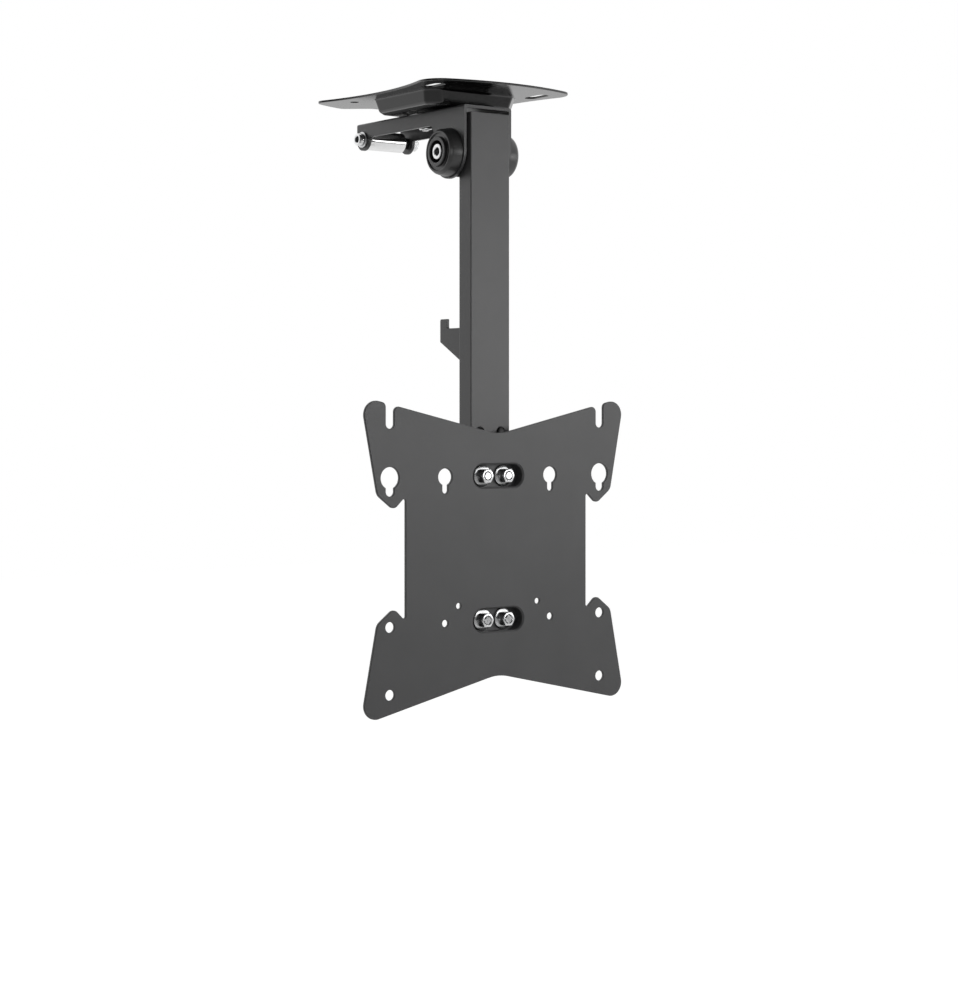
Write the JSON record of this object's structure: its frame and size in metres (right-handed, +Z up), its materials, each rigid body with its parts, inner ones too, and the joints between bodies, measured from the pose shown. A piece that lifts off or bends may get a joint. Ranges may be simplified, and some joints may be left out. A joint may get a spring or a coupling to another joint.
{
  "type": "tv ceiling mount",
  "caption": "Folding, swivelling ceiling mount: pressed ceiling plate, folded channel, hinged square post with latch hook, and a flat screen plate with keyholes.",
  "frame": {"origin": "centre of the ceiling plate's top face, on the swivel axis", "axes": "+Z up to the ceiling, -Y towards the viewer of the screen, X along the fold axis"},
  "size_m": [0.2454, 0.1834, 0.4745],
  "materials": {
    "gloss_black": "glossy black coat on pressed steel sheet",
    "satin_black": "satin grey-black powder coat on steel",
    "plate_black": "satin black powder coat on steel sheet",
    "zinc": "bright zinc plate",
    "polished_steel": "polished steel",
    "black_plastic": "moulded black plastic, fine satin grain",
    "nylon": "black nylon"
  },
  "bodies": {
    "ceiling": {"ceiling_plate": "gloss_black"},
    "arm": {"swivel_disc": "nylon", "swivel_bolt": "zinc", "swivel_washers": "zinc", "swivel_nut": "zinc", "lock_bolt": "zinc", "lock_washers": "zinc", "lock_nut": "zinc", "channel_bracket": "satin_black", "roller_screw": "zinc", "roller_washers": "zinc", "roller_nut": "zinc", "pivot_bolt": "zinc", "pivot_nut": "zinc", "pivot_cover_near": "black_plastic", "pivot_cover_far": "black_plastic", "friction_washers": "nylon"},
    "roller": {"latch_roller": "polished_steel"},
    "post": {"pivot_sleeve": "zinc", "pivot_clevis": "satin_black", "post_tube": "satin_black", "hook_plate": "satin_black", "vesa_plate": "plate_black", "plate_bolts": "zinc", "plate_washers": "zinc", "plate_nuts": "zinc"}
  },
  "joints": [
    {"name": "swivel", "type": "hinge", "parent": "ceiling", "child": "arm", "pos_m": [0, 0, -0.0116], "axis": [0, 0, 1], "range_deg": [-75, 75]},
    {"name": "fold", "type": "hinge", "parent": "arm", "child": "post", "pos_m": [0, -0.037, -0.0487], "axis": [1, 0, 0], "range_deg": [0, 90]},
    {"name": "roller_spin", "type": "hinge", "parent": "arm", "child": "roller", "pos_m": [0, 0.083, -0.0267], "axis": [1, 0, 0], "continuous": true}
  ]
}
